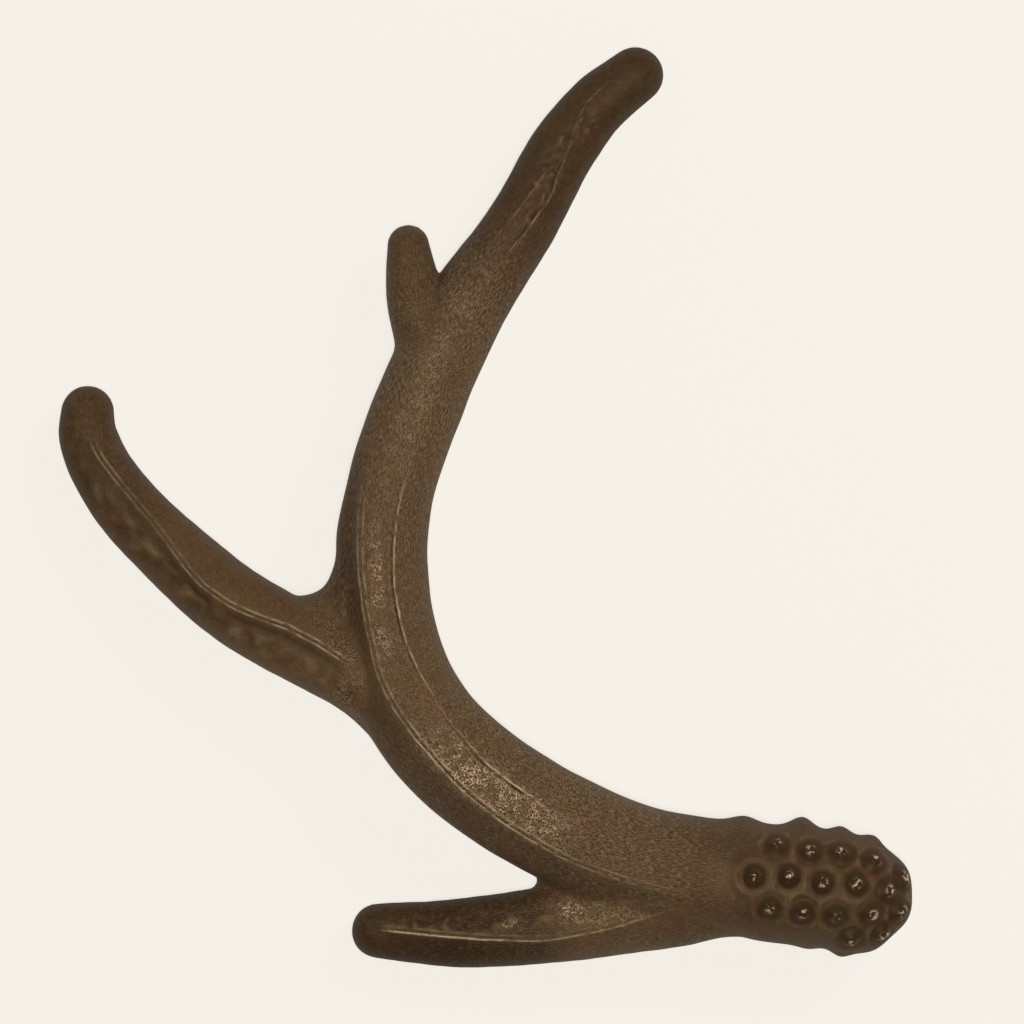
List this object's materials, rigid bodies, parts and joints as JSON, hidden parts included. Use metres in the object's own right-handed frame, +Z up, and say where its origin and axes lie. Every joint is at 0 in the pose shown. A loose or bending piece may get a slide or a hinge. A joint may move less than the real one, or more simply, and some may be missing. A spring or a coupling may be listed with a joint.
{
  "type": "moulded deer antler",
  "caption": "Moulded deer antler lying on its side: a curved main beam with a pearled, knobbed base, blunt side tines and a short spur below the crown.",
  "frame": {"origin": "on the surface that the antler lies on, under the middle of its bounding box", "axes": "+Z up; +Y from the base's side towards the crown's tip, which is the longest way across; +X from the side tine towards the base"},
  "size_m": [0.1766, 0.1906, 0.0247],
  "materials": {
    "antler": "moulded dark brown, satin, with a fine sparkling stipple along the beam and a smooth shine on the pearls and tips"
  },
  "bodies": {
    "root": {"beam": "antler", "side_tine": "antler", "brow_tine": "antler", "spur_tine": "antler"}
  },
  "joints": []
}
